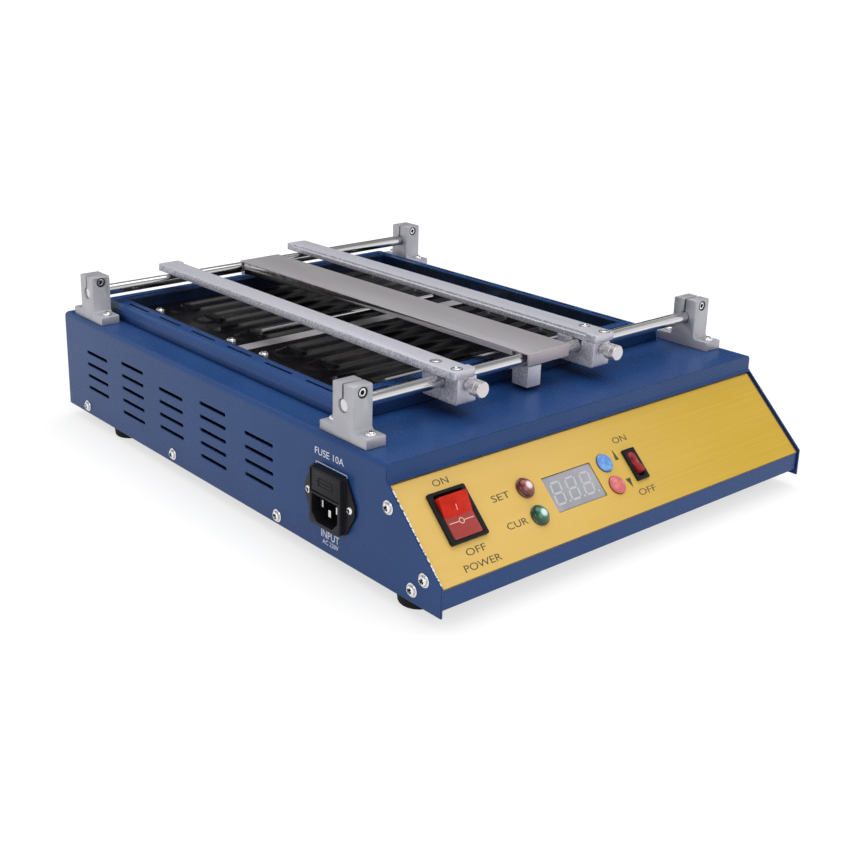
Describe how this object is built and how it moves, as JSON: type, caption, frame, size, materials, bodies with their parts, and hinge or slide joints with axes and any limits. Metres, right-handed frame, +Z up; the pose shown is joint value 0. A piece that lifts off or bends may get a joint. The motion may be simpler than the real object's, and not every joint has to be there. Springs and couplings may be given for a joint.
{
  "type": "infrared preheating plate",
  "caption": "Bench-top infrared preheater with a slotted heater frame, sloping control panel and a board holder that slides on two rails.",
  "frame": {"origin": "on the floor under the centre of the housing's footprint", "axes": "+Z up, +Y from the control panel to the rear, +X to the right seen from the control panel"},
  "size_m": [0.325, 0.42, 0.1125],
  "materials": {
    "blue_coat": "satin powder coat",
    "yellow_plate": "brushed, lacquered",
    "bright_steel": "brushed stainless",
    "chrome": "polished",
    "satin_aluminium": "satin",
    "black_enamel": "glossy enamel",
    "black_rubber": "matt",
    "black_plastic": "moulded",
    "red_rocker": "translucent",
    "red_lens": "domed lens",
    "green_lens": "domed lens",
    "blue_cap": "moulded",
    "coral_cap": "moulded",
    "display_grey": "filter window",
    "circuit_board": "solder mask",
    "ceramic_fibre": "fibrous",
    "fuse_glass": "clear"
  },
  "bodies": {
    "housing": {"cover": "blue_coat", "base_pan": "blue_coat", "front_panel": "blue_coat", "label_plate": "yellow_plate", "rear_panel": "blue_coat", "foot_front_left": "black_rubber", "foot_front_right": "black_rubber", "foot_rear_left": "black_rubber", "foot_rear_right": "black_rubber", "heater_frame": "blue_coat", "heater_tray": "bright_steel", "insulation_board": "ceramic_fibre", "heater_plate_front": "black_enamel", "heater_plate_rear": "black_enamel", "mica_heater_front": "ceramic_fibre", "mica_heater_rear": "ceramic_fibre", "probe_front": "chrome", "probe_rear": "chrome", "centre_strip": "bright_steel", "support_front_left": "satin_aluminium", "clamp_screw_front_left": "chrome", "support_front_right": "satin_aluminium", "clamp_screw_front_right": "chrome", "rail_front": "chrome", "support_rear_left": "satin_aluminium", "clamp_screw_rear_left": "chrome", "support_rear_right": "satin_aluminium", "clamp_screw_rear_right": "chrome", "rail_rear": "chrome", "power_switch_body": "black_plastic", "heat_switch_body": "black_plastic", "display_window": "display_grey", "display_module": "black_plastic", "lamp_red": "red_lens", "lamp_green": "green_lens", "up_button_bush": "black_plastic", "down_button_bush": "black_plastic", "inlet_body": "black_plastic", "control_board": "circuit_board", "transformer": "bright_steel", "solid_state_relay": "black_plastic", "terminal_block": "ceramic_fibre"},
    "left_clamp": {"clamp_bar_left": "satin_aluminium", "clamp_block_left": "satin_aluminium"},
    "right_clamp": {"clamp_bar_right": "satin_aluminium", "clamp_block_right": "satin_aluminium"},
    "left_thumb_screw": {"thumb_screw_left": "chrome"},
    "right_thumb_screw": {"thumb_screw_right": "chrome"},
    "board_support": {"support_strip": "bright_steel", "support_block": "satin_aluminium"},
    "power_rocker": {"power_rocker": "red_rocker"},
    "heat_rocker": {"heat_rocker": "red_rocker"},
    "up_button": {"up_button_cap": "blue_cap"},
    "down_button": {"down_button_cap": "coral_cap"},
    "fuse_drawer": {"fuse_drawer": "black_plastic", "fuse": "fuse_glass"}
  },
  "joints": [
    {"name": "left_clamp_slide", "type": "slide", "parent": "housing", "child": "left_clamp", "axis": [1, 0, 0], "range_m": [-0.048, 0.02]},
    {"name": "right_clamp_slide", "type": "slide", "parent": "housing", "child": "right_clamp", "axis": [1, 0, 0], "range_m": [-0.006, 0.085]},
    {"name": "board_support_slide", "type": "slide", "parent": "housing", "child": "board_support", "axis": [1, 0, 0], "range_m": [-0.02, 0.004]},
    {"name": "left_thumb_screw_turn", "type": "hinge", "parent": "left_clamp", "child": "left_thumb_screw", "pos_m": [-0.07595, -0.14, 0.0997], "axis": [0, -1, 0], "range_deg": [0, 360]},
    {"name": "right_thumb_screw_turn", "type": "hinge", "parent": "right_clamp", "child": "right_thumb_screw", "pos_m": [0.04045, -0.14, 0.0997], "axis": [0, -1, 0], "range_deg": [0, 360]},
    {"name": "power_rocker_tilt", "type": "hinge", "parent": "housing", "child": "power_rocker", "pos_m": [-0.1269, -0.18238, 0.04663], "axis": [1, 0, 0], "range_deg": [-18, 0]},
    {"name": "heat_rocker_tilt", "type": "hinge", "parent": "housing", "child": "heat_rocker", "pos_m": [0.0152, -0.18763, 0.04283], "axis": [1, 0, 0], "range_deg": [0, 20]},
    {"name": "up_button_push", "type": "slide", "parent": "housing", "child": "up_button", "axis": [0, 0.7036, -0.7106], "range_m": [0, 0.0015], "stiffness_N_per_m": 400},
    {"name": "down_button_push", "type": "slide", "parent": "housing", "child": "down_button", "axis": [0, 0.7036, -0.7106], "range_m": [0, 0.0015], "stiffness_N_per_m": 400},
    {"name": "fuse_drawer_slide", "type": "slide", "parent": "housing", "child": "fuse_drawer", "axis": [-1, 0, 0], "range_m": [0, 0.016]}
  ]
}
